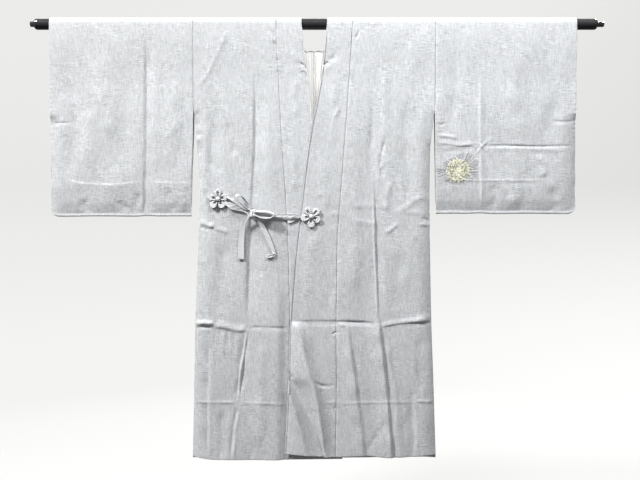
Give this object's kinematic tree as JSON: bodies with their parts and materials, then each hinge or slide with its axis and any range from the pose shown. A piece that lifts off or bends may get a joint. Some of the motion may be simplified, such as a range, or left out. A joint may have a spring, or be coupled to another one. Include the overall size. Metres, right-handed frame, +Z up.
{
  "type": "kimono coat on a rod",
  "caption": "Pale silver silk kimono coat with crossed fronts, a ribbon bow between two fabric rosettes and an embroidered sleeve, hung flat by its sleeves on a black rod.",
  "frame": {"origin": "on the rod's axis, below the middle of the coat's neck, where the rod holds the coat", "axes": "+X along the rod towards the wearer's left sleeve, +Y towards the back of the coat, +Z up"},
  "size_m": [1.432, 0.0526, 1.103],
  "materials": {
    "silk": "satin",
    "lining": "matte",
    "rod_paint": "satin"
  },
  "bodies": {
    "root": {"rod": "rod_paint", "body_right": "silk", "body_left": "silk", "band_right": "silk", "band_left": "silk", "neck_lining": "lining", "sleeve_right": "silk", "sleeve_left": "silk", "rosette_right": "silk", "rosette_left": "silk", "bow_knot": "silk", "tie_right_upper": "silk", "tie_right_lower": "silk", "bow_loop_right": "silk", "bow_loop_left": "silk", "tie_left": "silk", "tie_left_under": "silk", "bow_tail_right": "silk", "bow_tail_left": "silk"}
  },
  "joints": []
}
